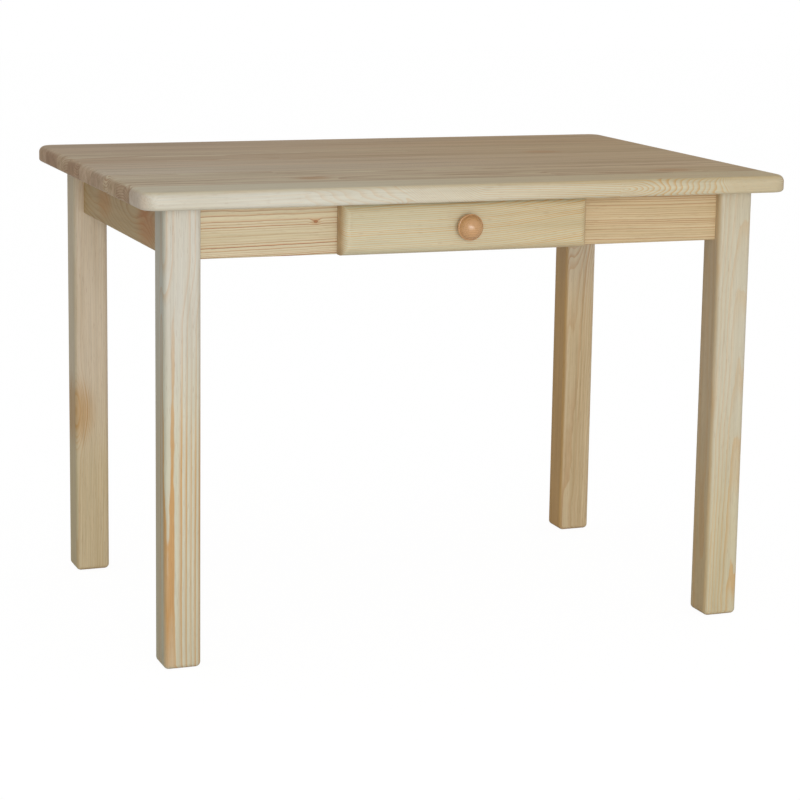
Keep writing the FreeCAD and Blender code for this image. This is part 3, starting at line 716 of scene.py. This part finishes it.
@dataclass
class Tabletop:
    """Top of nine staves, each cut from another part of a log.

    From stave to stave the heart turns by heart_turn round the middle, at the distances of heart_reaches
    in turn, and the joint moves along by joint_step of its way, from -joint_reach to joint_reach. knots
    lists the stave, the place along X, the step from its middle and the radius, bulge and figure of each
    mark of a small branch.
    """

    joint_places: Pair = (-0.290, 0.245)
    joint_reach: float = 0.35
    joint_step: float = 0.37
    heart_turn: float = 2.4
    heart_reaches: tuple[float, ...] = (0.055, 0.075, 0.095)
    ring_widths: tuple[float, ...] = (3.2 * MM, 3.7 * MM, 4.2 * MM, 4.7 * MM)
    # Pale wood of each stave at its left and right ends: each stave's own tone, with a painted colour cast
    # of the light over it, cooler at the left end and warmer at the right.
    left_tones_cool_cast: tuple[Triple, ...] = (
        srgb(213, 208, 192), srgb(212, 195, 162), srgb(212, 197, 164), srgb(212, 198, 171),
        srgb(211, 192, 162), srgb(201, 177, 142), srgb(206, 187, 153), srgb(202, 179, 146),
        srgb(199, 177, 146),
    )
    right_tones_warm_cast: tuple[Triple, ...] = (
        srgb(208, 199, 170), srgb(204, 177, 129), srgb(212, 185, 140), srgb(205, 177, 130),
        srgb(208, 180, 133), srgb(202, 173, 124), srgb(206, 177, 127), srgb(204, 172, 121),
        srgb(202, 172, 126),
    )
    pitchy: Triple = srgb(190, 138, 76)
    knots: tuple[tuple[float, ...], ...] = (
        (2, 0.392, -0.002, 9.0 * MM, 4.0 * MM, 0.3), (2, -0.235, 0.014, 8.0 * MM, 2.5 * MM, 0.1),
        (6, 0.300, -0.010, 9.0 * MM, 4.0 * MM, 0.2),
    )

    def dress_front_stave(self) -> None:
        """Dress the front stave, finger-jointed from three lengths."""
        low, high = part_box("top_stave_1")
        edge = (low.y - high.y) / 2
        first, second = self.joint_places
        # top_tint gives this stave's top face painted shade, warmer and darker than its front edge.
        dress_pine(
            "top_stave_1", Grain.ALONG_X,
            Heart((0.060, -0.110), (0.01, 0.04)),
            Heart((edge - 0.0115, 0.004), (-0.15, 0.0), first, 1.5 * MM,
                  bend=(first + 0.13, first + 0.30), shift=(0.01, -0.110), tightness=1.2),
            Heart((edge - 0.049, 0.0), (0.20, 0.0), second, 1.0 * MM,
                  bend=(0.405, 0.545), shift=(0.0, -0.120), tightness=2.0),
            ring_width=4.2 * MM, seed=1.0, early=self.left_tones_cool_cast[0], early_far=self.right_tones_warm_cast[0],
            late=srgb(206, 164, 104), contrast=(0.12, 0.85), span=(-0.42, 0.36), growth=1.0,
            uneven=0.3, ripple=0.9 * MM, streaks=0.25, top_tint=(1.03, 0.96, 0.82),
            end_tone=(1.0, 0.90, 0.84))

    def dress_stave(self, number: int) -> None:
        """Dress one of the other staves.

        Args:
            number: Number of the stave, from the front.
        """
        turn = number * self.heart_turn
        reach = self.heart_reaches[number % len(self.heart_reaches)]
        y, z = reach * math.cos(turn), reach * math.sin(turn)
        joint = self.joint_reach * (2 * (number * self.joint_step % 1) - 1)
        top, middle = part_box(f"top_stave_{number}")[1].z, middle_of(f"top_stave_{number}").y
        dress_pine(
            f"top_stave_{number}", Grain.ALONG_X,
            Heart((y, z), (0.012, 0.016)), Heart((y - 0.03, -z), (-0.014, 0.010), joint),
            ring_width=self.ring_widths[number % len(self.ring_widths)], seed=float(number),
            early=self.left_tones_cool_cast[number - 1], early_far=self.right_tones_warm_cast[number - 1],
            late=srgb(172, 126, 82), contrast=(0.9, 0.9), span=(-0.5, 0.5), ripple=1.6 * MM,
            streaks=1.0, stripes_per_metre=78.0,
            end_tone=(1.0, 0.94, 0.88) if number % 2 else (0.80, 0.68, 0.58),
            knots=tuple(Knot((x, middle + y, top), "Z", radius, bulge, 0.0, self.pitchy, figure)
                        for stave, x, y, radius, bulge, figure in self.knots if stave == number))

    def build(self) -> None:
        """Dress the staves."""
        self.dress_front_stave()
        for number in range(2, len(self.left_tones_cool_cast) + 1):
            self.dress_stave(number)


@dataclass
class Legs:
    """Four square legs, each with its own figure."""

    knot_height: float = 0.292

    def build(self) -> None:
        """Dress them: a flame in front left, pale waves in front right, a knot and close rings behind."""
        # Each side_tint is painted shade on the leg's -X face, the side turned from the lights; the warmer
        # side tints of the right-hand legs also carry the orange tone of their wood.
        dress_pine(
            "leg_front_left", Grain.ALONG_Z,
            Heart((-0.019, -0.016), (0.004, 0.0035), sway=0.8 * MM, bend=(0.54, 0.66), shift=(0.014, 0.0)),
            ring_width=6.4 * MM, seed=2.0, early=srgb(210, 205, 180), early_far=srgb(211, 206, 192),
            late=srgb(203, 157, 100), contrast=(1.0, 0.42), span=(0.30, 0.60), late_part=0.46,
            sharpen=2.2, growth=0.5, uneven=0.35, ripple=0.5 * MM, phase=0.27, streaks=0.25,
            side_tint=(0.82, 0.84, 0.81))
        dress_pine(
            "leg_front_right", Grain.ALONG_Z,
            Heart((0.017, -0.008), (0.0, 0.030), sway=2.2 * MM),
            ring_width=4.6 * MM, seed=5.0, early=srgb(208, 197, 164), early_far=srgb(210, 201, 177),
            late=srgb(208, 162, 96), contrast=(0.62, 0.34), span=(0.10, 0.45), ripple=1.9 * MM,
            growth=1.0, streaks=0.25, side_tint=(0.90, 0.79, 0.66))
        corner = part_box("leg_rear_left")[0]
        dress_pine(
            "leg_rear_left", Grain.ALONG_Z,
            Heart((0.110, 0.060), (0.0, 0.02)),
            ring_width=3.4 * MM, seed=7.0, early=srgb(212, 194, 156), early_far=srgb(219, 203, 177),
            late=srgb(190, 144, 88), contrast=(0.32, 0.20), span=(0.15, 0.40), streaks=0.3,
            side_tint=(0.86, 0.88, 0.84),
            knots=(Knot((corner.x - 2.0 * MM, corner.y, self.knot_height), "Y", 13.0 * MM, 14.0 * MM,
                        0.0, srgb(198, 150, 82), 3.2),))
        dress_pine(
            "leg_rear_right", Grain.ALONG_Z,
            Heart((-0.020, 0.030), (0.004, -0.012), sway=2.0 * MM, bend=(0.50, 0.66), shift=(0.0, -0.014)),
            ring_width=2.6 * MM, seed=9.0, early=srgb(218, 196, 156), early_far=srgb(218, 203, 176),
            late=srgb(192, 142, 88), contrast=(0.50, 0.75), span=(0.40, 0.60), late_part=0.45,
            streaks=0.6, side_tint=(0.83, 0.68, 0.44))


@dataclass
class Aprons:
    """Boards between the legs. The long front one is spliced behind the drawer front."""

    splice: float = 0.0

    def build(self) -> None:
        """Dress them: the front one close-ringed on its right, the left one with a swirl at a knot."""
        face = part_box("apron_front")[0].y
        dress_pine(
            "apron_front", Grain.ALONG_X,
            Heart((0.024, 0.048), (0.0, 0.016), sway=1.5 * MM),
            Heart((0.040, -0.180), (0.0, -0.01), self.splice, 1.5 * MM, tightness=0.9),
            ring_width=3.5 * MM, seed=3.0, early=srgb(213, 200, 166), early_far=srgb(214, 193, 152),
            late=srgb(192, 130, 76), contrast=(0.95, 1.0), span=(-0.15, 0.15), late_part=0.36,
            growth=3.0, uneven=0.8, rim=0.9, ripple=0.8 * MM, streaks=0.35,
            knots=(Knot((-0.257, face, 0.701), "Y", 2.0 * MM, -2.4 * MM, figure=0.5),))
        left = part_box("apron_left")[0].x
        dress_pine(
            "apron_left", Grain.ALONG_Y, Heart((0.030, 0.010), (0.10, 0.05)),
            ring_width=4.6 * MM, seed=4.0, early=srgb(192, 168, 122), late=srgb(170, 124, 70),
            contrast=(0.7, 0.7), span=(-0.3, 0.3),
            knots=(Knot((left, -0.165, 0.684), "X", 15.0 * MM, 12.0 * MM, 0.0, srgb(190, 122, 58), 0.6),
                   Knot((left, 0.120, 0.690), "X", 12.0 * MM, 8.0 * MM, 0.0, srgb(192, 138, 72), 0.4)))
        dress_pine(
            "apron_right", Grain.ALONG_Y, Heart((0.030, -0.080), (0.0, 0.03)),
            seed=6.0, contrast=(0.8, 0.7),
            knots=(Knot((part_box("apron_right")[1].x, 0.090, 0.690), "X", 7.0 * MM),))
        dress_pine(
            "apron_rear", Grain.ALONG_X,
            Heart((-0.030, 0.090), (0.0, 0.02)), Heart((0.040, -0.120), (0.0, 0.01), 0.12),
            ring_width=4.4 * MM, seed=8.0, contrast=(0.7, 0.8))


@dataclass
class FrameJoinery:
    """Corner blocks, guide boards, runners and the dowels between them."""

    corners: tuple[str, ...] = ("front_left", "front_right", "rear_left", "rear_right")

    def build(self) -> None:
        """Dress the hidden woodwork of the frame."""
        for number, corner in enumerate(self.corners):
            dress_pine(f"corner_block_{corner}", Grain.ALONG_Z, Heart((0.05, 0.02 * number), (0.02, 0.0)),
                       ring_width=3.6 * MM, seed=11.0 + number, roughness=0.62)
        for number, side in enumerate(("left", "right")):
            dress_pine(f"drawer_guide_{side}", Grain.ALONG_Y, Heart((0.02, -0.07), (0.01, 0.02)),
                       ring_width=3.8 * MM, seed=16.0 + number)
        dress_beech(Grain.ALONG_X, "apron_dowels")
        dress_beech(Grain.ALONG_Y, "drawer_runner_left", "drawer_runner_right", "guide_dowels")


@dataclass
class Drawer:
    """Drawer box with its overlay front, and the turned knob."""

    box_contrast: Pair = (0.6, 0.6)

    def build(self) -> None:
        """Dress the drawer. The lines of its front sweep upwards on the right."""
        dress_pine(
            "drawer_front", Grain.ALONG_X,
            Heart((0.050, -0.130), (0.0, 0.02), sway=2.0 * MM, bend=(0.0, 0.24), shift=(0.0, 0.020)),
            ring_width=2.9 * MM, seed=20.0, early=srgb(206, 201, 171), early_far=srgb(207, 197, 162),
            late=srgb(206, 154, 86), contrast=(0.80, 1.0), span=(-0.15, 0.2), growth=1.2,
            uneven=0.4, ripple=1.0 * MM, streaks=0.25, end_tone=(1.0, 0.80, 0.64),
            end_turn=(0.45, 1.15), roughness=0.40)
        for number, side in enumerate(("left", "right")):
            dress_pine(f"drawer_side_{side}", Grain.ALONG_Y, Heart((0.03, -0.09), (0.0, 0.02)),
                       ring_width=3.4 * MM, seed=21.0 + number, contrast=self.box_contrast)
        dress_pine("drawer_back", Grain.ALONG_X, Heart((0.02, -0.08), (0.0, 0.02)),
                   ring_width=3.6 * MM, seed=24.0, contrast=self.box_contrast)
        low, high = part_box("drawer_bottom")
        dress("drawer_bottom", Plywood("birch_plywood", low.z, high.z - low.z).material())
        dress("knob", TurnedWood("turned_knob", middle_of("knob")).material())
        dress_beech(Grain.ALONG_Y, "drawer_dowels")
        dress_beech(Grain.ALONG_Z, "drawer_stop_pegs")


ROUND_SIDES = 32
RIDGE_SIDES = 4
RIDGE_STEPS = 14
RIDGE_PITCH_SHARE = 0.48
RIDGE_RADIUS_SHARE = 0.36
RECESS_WIDTH_SHARE = 0.44
SMOOTH_ANGLE = math.radians(35.0)
SAME_HEIGHT = 0.001 * MM


class Head(Enum):
    """Form of a fastener's head."""

    PAN = "pan"
    FLAT = "flat"
    PIN = "pin"
    NONE = "none"


def applied() -> Piece:
    """Primitive that was just added, with its place, turn and scale applied."""
    bpy.ops.object.transform_apply()
    return bpy.context.object


def cone(low_radius: float, high_radius: float, low: float, high: float) -> Piece:
    """Round bar, cone or frustum upright on Z.

    Args:
        low_radius: Radius at its lower end.
        high_radius: Radius at its upper end.
        low: Lower end.
        high: Upper end.

    Returns:
        The bar.
    """
    bpy.ops.mesh.primitive_cone_add(vertices=ROUND_SIDES, radius1=low_radius, radius2=high_radius,
                                    depth=high - low, location=(0.0, 0.0, (low + high) / 2))
    return applied()


def bevel_rim(piece: Piece, height: float, width: float, segments: int) -> None:
    """Round the edges that lie at one height.

    Args:
        piece: Piece that was just added.
        height: Height of the edges.
        width: Width of the bevel.
        segments: Steps across it.
    """
    bpy.ops.object.mode_set(mode="EDIT")
    bpy.ops.mesh.select_mode(type="EDGE")
    bpy.ops.mesh.select_all(action="DESELECT")
    bpy.ops.object.mode_set(mode="OBJECT")
    corners = piece.data.vertices
    for edge in piece.data.edges:
        edge.select = all(abs(corners[index].co.z - height) < SAME_HEIGHT for index in edge.vertices)
    bpy.ops.object.mode_set(mode="EDIT")
    bpy.ops.mesh.bevel(offset=width, segments=segments, affect="EDGES")
    bpy.ops.object.mode_set(mode="OBJECT")


def cross_recess(piece: Piece, top: float, reach: float, depth: float) -> None:
    """Sink a cross for the driver into a head.

    Args:
        piece: The head.
        top: Height of its outer face, which looks down.
        reach: Half the length of the cross's arms.
        depth: Depth of the cross.
    """
    for turn in (0.0, math.pi / 2):
        bpy.ops.mesh.primitive_cube_add(size=1.0, location=(0.0, 0.0, top), rotation=(0.0, 0.0, turn),
                                        scale=(reach * 2, reach * RECESS_WIDTH_SHARE, depth * 2))
        blade = applied()
        cut = piece.modifiers.new("cross", "BOOLEAN")
        cut.operation = "DIFFERENCE"
        cut.object = blade
        bpy.context.view_layer.objects.active = piece
        bpy.ops.object.modifier_apply(modifier=cut.name)
        bpy.data.objects.remove(blade)


def thread(radius: float, pitch: float, low: float, high: float) -> Piece:
    """Helical ridge that stands on a shank.

    Args:
        radius: Radius at its crest.
        pitch: Rise of one turn.
        low: Lower end.
        high: Upper end.

    Returns:
        The ridge.
    """
    wire = min(pitch * RIDGE_PITCH_SHARE, radius * RIDGE_RADIUS_SHARE)
    bpy.ops.mesh.primitive_circle_add(vertices=RIDGE_SIDES, radius=wire, rotation=(math.pi / 2, 0.0, 0.0),
                                      location=(radius - wire, 0.0, low + wire))
    ridge = applied()
    helix = ridge.modifiers.new("helix", "SCREW")
    helix.axis = "Z"
    helix.screw_offset = pitch
    helix.iterations = max(1, int((high - low - 2 * wire) / pitch))
    helix.steps = helix.render_steps = RIDGE_STEPS
    helix.use_merge_vertices = True
    bpy.ops.object.modifier_apply(modifier=helix.name)
    bpy.ops.object.mode_set(mode="EDIT")
    bpy.ops.mesh.select_all(action="SELECT")
    bpy.ops.mesh.fill_holes(sides=RIDGE_SIDES)
    bpy.ops.mesh.normals_make_consistent(inside=False)
    bpy.ops.object.mode_set(mode="OBJECT")
    return ridge


def joined(pieces: list[Piece], name: str) -> Piece:
    """Make several pieces one object.

    Args:
        pieces: The pieces.
        name: Name of the result.

    Returns:
        The result.
    """
    bpy.ops.object.select_all(action="DESELECT")
    for piece in pieces:
        piece.select_set(True)
    bpy.context.view_layer.objects.active = pieces[0]
    bpy.ops.object.join()
    bpy.ops.object.shade_smooth_by_angle(angle=SMOOTH_ANGLE)
    pieces[0].name = name
    return pieces[0]


def loose_solids(node: str) -> list[list[Vector]]:
    """Corner points of each loose solid of a CAD node.

    Args:
        node: Name of the node.

    Returns:
        One list of points for each solid.
    """
    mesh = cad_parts[node].data
    keys = [tuple(round(value, 6) for value in vertex.co) for vertex in mesh.vertices]
    groups = {key: {key} for key in keys}
    for edge in mesh.edges:
        first, second = (groups[keys[index]] for index in edge.vertices)
        if first is not second:
            first |= second
            groups.update((key, first) for key in second)
    solids = {id(group): group for group in groups.values()}
    return [[Vector(key) for key in group] for group in solids.values()]


@dataclass(frozen=True)
class Fastener:
    """Screws, bolts or pins of one size, in the places of a CAD node.

    core_share is the core's share of the thread's radius, taper the length of the pointed end in radii,
    and recess the reach and depth of the driver's cross as shares of the head's radius. A hanger bolt is
    plain between the two shares of plain, and its thread for wood is coarser by coarse.
    """

    node: str
    head: Head
    radius: float
    head_height: float = 0.0
    pitch: float = 1.4 * MM
    body: str = "table_frame"
    slot: str = "zinc_steel"
    core_share: float = 0.74
    taper: float = 2.0
    recess: Pair = (0.56, 0.36)
    plain: Pair = (0.42, 0.66)
    coarse: float = 2.2

    def placing(self, points: list[Vector]) -> tuple[Matrix, float, float]:
        """Place, length and head radius of one of them.

        Args:
            points: Corner points of its CAD solid.

        Returns:
            Matrix for a blank that points along +Z from under its head, whole length, greatest radius.
        """
        low = Vector(min(point[axis] for point in points) for axis in range(3))
        high = Vector(max(point[axis] for point in points) for axis in range(3))
        middle = (low + high) / 2
        if self.head is Head.NONE:
            along = Vector((-math.copysign(1.0, middle.x), -math.copysign(1.0, middle.y), 0.0)).normalized()
        else:
            sizes = high - low
            along = Vector(float(size == max(sizes)) for size in sizes)
        places = [(point - middle).dot(along) for point in points]
        widths = [((point - middle) - along * place).length for point, place in zip(points, places)]
        half = max(places)
        ends = [max(width for place, width in zip(places, widths) if abs(place - end) < self.radius)
                for end in (-half, half)]
        if ends[0] < ends[1]:
            along = -along
        start = middle - along * (half - self.head_height)
        turn = along.to_track_quat("Z", "Y").to_matrix().to_4x4()
        return Matrix.Translation(start) @ turn, 2 * half, max(widths)

    def blank(self, length: float, head_radius: float) -> Piece:
        """Model one of them with its head under the origin's plane and its shank above it.

        Args:
            length: Whole length.
            head_radius: Greatest radius.

        Returns:
            The blank.
        """
        tip = length - self.head_height
        core = self.radius * (1.0 if self.head is Head.PIN else self.core_share)
        if self.head is Head.NONE:
            wood_end, plain_end = (tip * share for share in self.plain)
            return joined([cone(core, core, 0.0, tip),
                           thread(self.radius, self.pitch * self.coarse, self.pitch, wood_end),
                           cone(self.radius, self.radius, wood_end, plain_end),
                           thread(self.radius, self.pitch, plain_end, tip)], self.node + "_blank")
        if self.head is Head.FLAT:
            cap = cone(head_radius, self.radius, 0.0, head_radius - self.radius)
        else:
            cap = cone(head_radius, head_radius, -self.head_height, 0.0)
            share, steps = (0.45, 3) if self.head is Head.PIN else (0.6, 5)
            bevel_rim(cap, -self.head_height, self.head_height * share, steps)
        point = tip - self.radius * self.taper
        pieces = [cap, cone(core, core, 0.0, point), cone(core, 0.0, point, tip)]
        if self.head is not Head.PIN:
            cross_recess(cap, -self.head_height, *(head_radius * share for share in self.recess))
            pieces.append(thread(self.radius, self.pitch, head_radius * 0.5, point))
        return joined(pieces, self.node + "_blank")

    def build(self, material: Material) -> None:
        """Model them all and let them stand for their node.

        Args:
            material: Their finish.
        """
        placings = [self.placing(points) for points in loose_solids(self.node)]
        blank = self.blank(*placings[0][1:])
        blank.data.materials.clear()
        blank.data.materials.append(material)
        copies = []
        for matrix, _, _ in placings:
            copy = bpy.data.objects.new(self.node + "_copy", blank.data.copy())
            copy.data.transform(matrix)
            bpy.context.collection.objects.link(copy)
            copies.append(copy)
        bpy.data.objects.remove(blank)
        group = joined(copies, self.node + "_made")
        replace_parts(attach(group, self.body), self.node)
        LOG.info("made %d %s", len(placings), self.node)


@dataclass
class Ironmongery:
    """Bolts, nuts, washers, brackets, screws and pins."""

    plain_nodes: tuple[str, ...] = ("bolt_washers", "bolt_nuts", "top_brackets")
    fasteners: tuple[Fastener, ...] = (
        Fastener("hanger_bolts", Head.NONE, 4.0 * MM, 0.0, 1.25 * MM),
        Fastener("corner_block_screws", Head.PAN, 2.2 * MM, 2.8 * MM, 1.8 * MM),
        Fastener("bracket_screws", Head.PAN, 2.0 * MM, 2.4 * MM, 1.8 * MM),
        Fastener("runner_screws", Head.FLAT, 1.75 * MM, 0.0, 1.6 * MM),
        Fastener("drawer_bottom_pins", Head.PIN, 0.9 * MM, 0.8 * MM, body="drawer"),
        Fastener("knob_screw", Head.PAN, 2.0 * MM, 2.6 * MM, 1.0 * MM, body="drawer"),
    )

    def build(self) -> None:
        """Dress the plain metal pieces and make the threaded ones."""
        zinc = ZincSteel("zinc_steel").material()
        for node in self.plain_nodes:
            dress(node, zinc)
        for fastener in self.fasteners:
            fastener.build(zinc)


# ---- studio


@dataclass
class Studio:
    """White floor and surroundings, a broad frontal light, a small one beside it, and the camera."""

    floor_size: float = 30.0
    floor_drop: float = 1.0 * MM
    floor_white: float = 0.82
    floor_glow: float = 1.06
    floor_glow_share: float = 0.9
    light_distance: float = 5.0
    aim_height: float = 0.4
    key_direction: Triple = (-0.06, -1.0, 0.04)
    key_size: float = 3.2
    key_power: float = 98.0
    window_direction: Triple = (-0.40, -1.0, 0.27)
    window_size: float = 1.3
    window_power: float = 24.0
    fill_level: float = 0.53
    camera_place: Triple = (-1.45241, -3.85688, 1.19163)
    camera_yaw: float = 21.286
    camera_pitch: float = -10.161
    camera_roll: float = 0.983
    focal_pixels: float = 2407.8
    centre_pixel: Pair = (424.0, 336.0)
    image_size: float = 800.0
    sensor_width: float = 36.0

    def add_floor(self) -> None:
        """Floor that is white, keeps a trace of the table's shadow and can be looked through from below."""
        bpy.ops.mesh.primitive_plane_add(size=self.floor_size, location=(0.0, 0.0, -self.floor_drop))
        floor = bpy.context.object
        floor.name = "floor"
        tree = Tree("studio_floor")
        diffuse = tree.fed(tree.add("BsdfDiffuse"), (self.floor_white,) * 3)
        glow = tree.fed(tree.add("Emission"), Strength=self.floor_glow)
        glow_share = tree.times(tree.add("LightPath").outputs["Is Camera Ray"], self.floor_glow_share)
        seen = tree.fed(tree.add("MixShader"), glow_share, diffuse, glow)
        from_below = tree.add("NewGeometry").outputs["Backfacing"]
        clear = tree.fed(tree.add("BsdfTransparent"))
        floor.data.materials.append(tree.shown(tree.fed(tree.add("MixShader"), from_below, seen, clear)))
        LOG.info("added the floor")

    def add_world(self) -> None:
        """Even light from all round, white where the camera looks past the table."""
        tree = Tree("studio_world", "worlds")
        level = tree.fed(tree.add("MapRange"), tree.add("LightPath").outputs["Is Camera Ray"],
                         To_Min=self.fill_level, To_Max=1.0)
        background = tree.fed(tree.add("Background"), (1.0, 1.0, 1.0), level)
        bpy.context.scene.world = tree.shown(background, "OutputWorld")

    def add_light(self, name: str, aim: Triple, size: float, power: float) -> None:
        """Round area light that looks at the table.

        Args:
            name: Name of the light.
            aim: Direction from the table to the light.
            size: Diameter in metres.
            power: Power in watts.
        """
        direction = Vector(aim).normalized()
        light = bpy.data.lights.new(name, "AREA")
        light.shape = "DISK"
        light.size = size
        light.energy = power
        lamp = bpy.data.objects.new(name, light)
        lamp.location = direction * self.light_distance + Vector((0.0, 0.0, self.aim_height))
        lamp.rotation_euler = direction.to_track_quat("Z", "Y").to_euler()
        bpy.context.collection.objects.link(lamp)
        LOG.info("added %s", name)

    def add_camera(self) -> None:
        """Camera at its measured place and turn."""
        yaw, pitch, roll = (math.radians(a) for a in (self.camera_yaw, self.camera_pitch, self.camera_roll))
        camera = bpy.data.cameras.new("camera")
        camera.sensor_width = self.sensor_width
        camera.lens = self.focal_pixels / self.image_size * self.sensor_width
        camera.shift_x = 0.5 - self.centre_pixel[0] / self.image_size
        camera.shift_y = self.centre_pixel[1] / self.image_size - 0.5
        item = bpy.data.objects.new("camera", camera)
        item.matrix_world = (
            Matrix.Translation(self.camera_place) @ Matrix.Rotation(-yaw, 4, "Z")
            @ Matrix.Rotation(math.pi / 2 + pitch, 4, "X") @ Matrix.Rotation(roll, 4, "Z"))
        bpy.context.collection.objects.link(item)
        bpy.context.scene.camera = item
        LOG.info("added the camera")

    def build(self) -> None:
        """Set the whole studio up."""
        bpy.context.scene.view_settings.view_transform = "Standard"
        self.add_floor()
        self.add_world()
        self.add_light("key_light", self.key_direction, self.key_size, self.key_power)
        self.add_light("window_light", self.window_direction, self.window_size, self.window_power)
        self.add_camera()


def main() -> None:
    """Build and dress the table, then set up the studio."""
    logging.basicConfig(level=logging.INFO, format="%(name)s: %(message)s")
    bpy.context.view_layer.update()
    bpy.ops.object.select_all(action="DESELECT")
    for part in (Tabletop(), Legs(), Aprons(), FrameJoinery(), Drawer(), Ironmongery(), Studio()):
        LOG.info("building %s", type(part).__name__)
        part.build()


if __name__ == "__main__":
    main()
